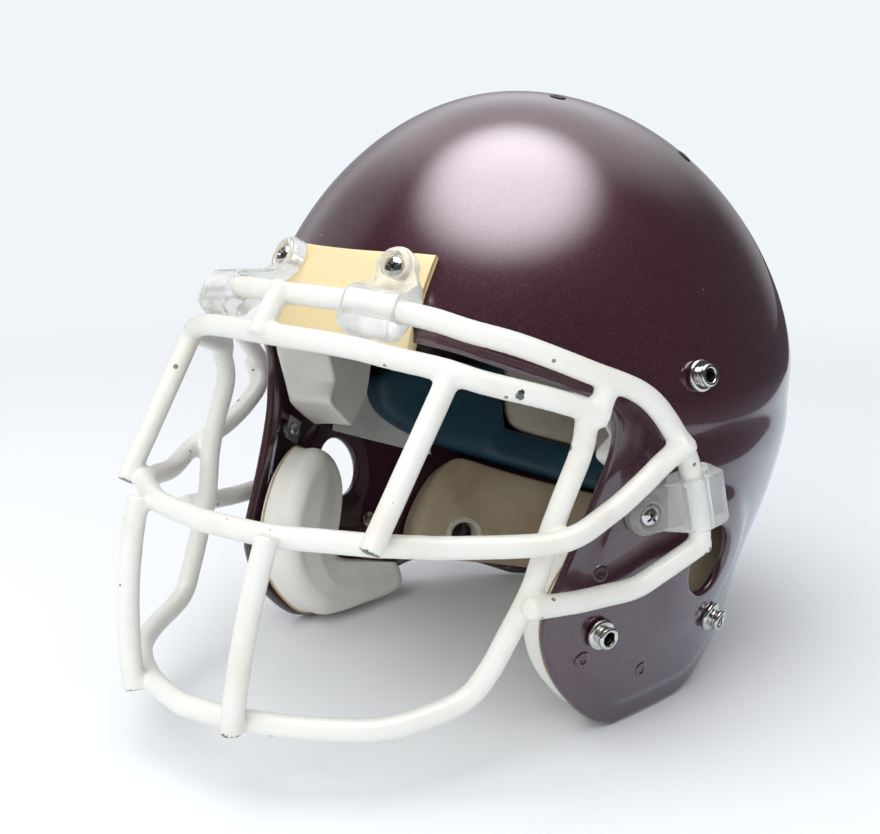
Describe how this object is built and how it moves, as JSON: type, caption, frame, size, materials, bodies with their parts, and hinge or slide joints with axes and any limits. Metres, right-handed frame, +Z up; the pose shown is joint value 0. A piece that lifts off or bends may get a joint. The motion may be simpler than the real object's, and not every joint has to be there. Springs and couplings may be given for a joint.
{
  "type": "football helmet",
  "caption": "Football helmet with a moulded shell, wire face guard on screwed clips, brow bumper, strap studs and inner pads.",
  "frame": {"origin": "on the floor below the middle of the helmet's footprint, face guard included", "axes": "the helmet faces -Y, +X is the wearer's left, +Z is up"},
  "size_m": [0.2468, 0.3281, 0.2424],
  "materials": {
    "plum_shell": "dark plum metallic paint under clear lacquer",
    "coated_wire": "ivory dipped vinyl coating on steel wire, chipped at the tips",
    "cream_bumper": "matt cream rubber, bare",
    "clear_plastic": "clear moulded plastic",
    "plated_hardware": "bright nickel plate",
    "zinc_steel": "dull zinc plate",
    "black_rubber": "matt black rubber",
    "blue_vinyl": "dark teal-blue vinyl skin",
    "tan_foam": "stained tan foam",
    "beige_foam": "worn beige foam",
    "white_foam": "off-white vinyl skin over foam"
  },
  "bodies": {
    "root": {"air_band": "blue_vinyl", "brow_bumper": "cream_bumper", "brow_wire": "coated_wire", "centre_strut": "coated_wire", "chin_upright_left": "coated_wire", "chin_upright_right": "coated_wire", "chin_wire": "coated_wire", "crown_pad": "blue_vinyl", "crown_valve_port": "black_rubber", "eye_wire": "coated_wire", "forehead_pad": "white_foam", "front_pad_post_left": "plum_shell", "front_pad_post_right": "plum_shell", "front_stud_left": "plated_hardware", "front_stud_right": "plated_hardware", "jaw_pad_left": "white_foam", "jaw_pad_right": "white_foam", "lower_side_wire_left": "coated_wire", "lower_side_wire_right": "coated_wire", "nape_pad": "tan_foam", "nose_wire": "coated_wire", "rear_pad": "beige_foam", "rear_pad_post_left": "plum_shell", "rear_pad_post_right": "plum_shell", "rear_stud_left": "plated_hardware", "rear_stud_right": "plated_hardware", "rear_valve_port": "black_rubber", "shell": "plum_shell", "side_clip_left": "clear_plastic", "side_clip_right": "clear_plastic", "side_clip_screw_left": "plated_hardware", "side_clip_screw_right": "plated_hardware", "side_clip_tee_nut_left": "zinc_steel", "side_clip_tee_nut_right": "zinc_steel", "side_strut_left": "coated_wire", "side_strut_right": "coated_wire", "temple_pad_left": "white_foam", "temple_pad_right": "white_foam", "top_clip_left": "clear_plastic", "top_clip_right": "clear_plastic", "top_clip_screw_left": "plated_hardware", "top_clip_screw_right": "plated_hardware", "top_clip_tee_nut_left": "zinc_steel", "top_clip_tee_nut_right": "zinc_steel", "upper_pad_post_left": "plum_shell", "upper_pad_post_right": "plum_shell", "upper_stud_left": "plated_hardware", "upper_stud_right": "plated_hardware", "upright_left": "coated_wire", "upright_right": "coated_wire"}
  },
  "joints": []
}
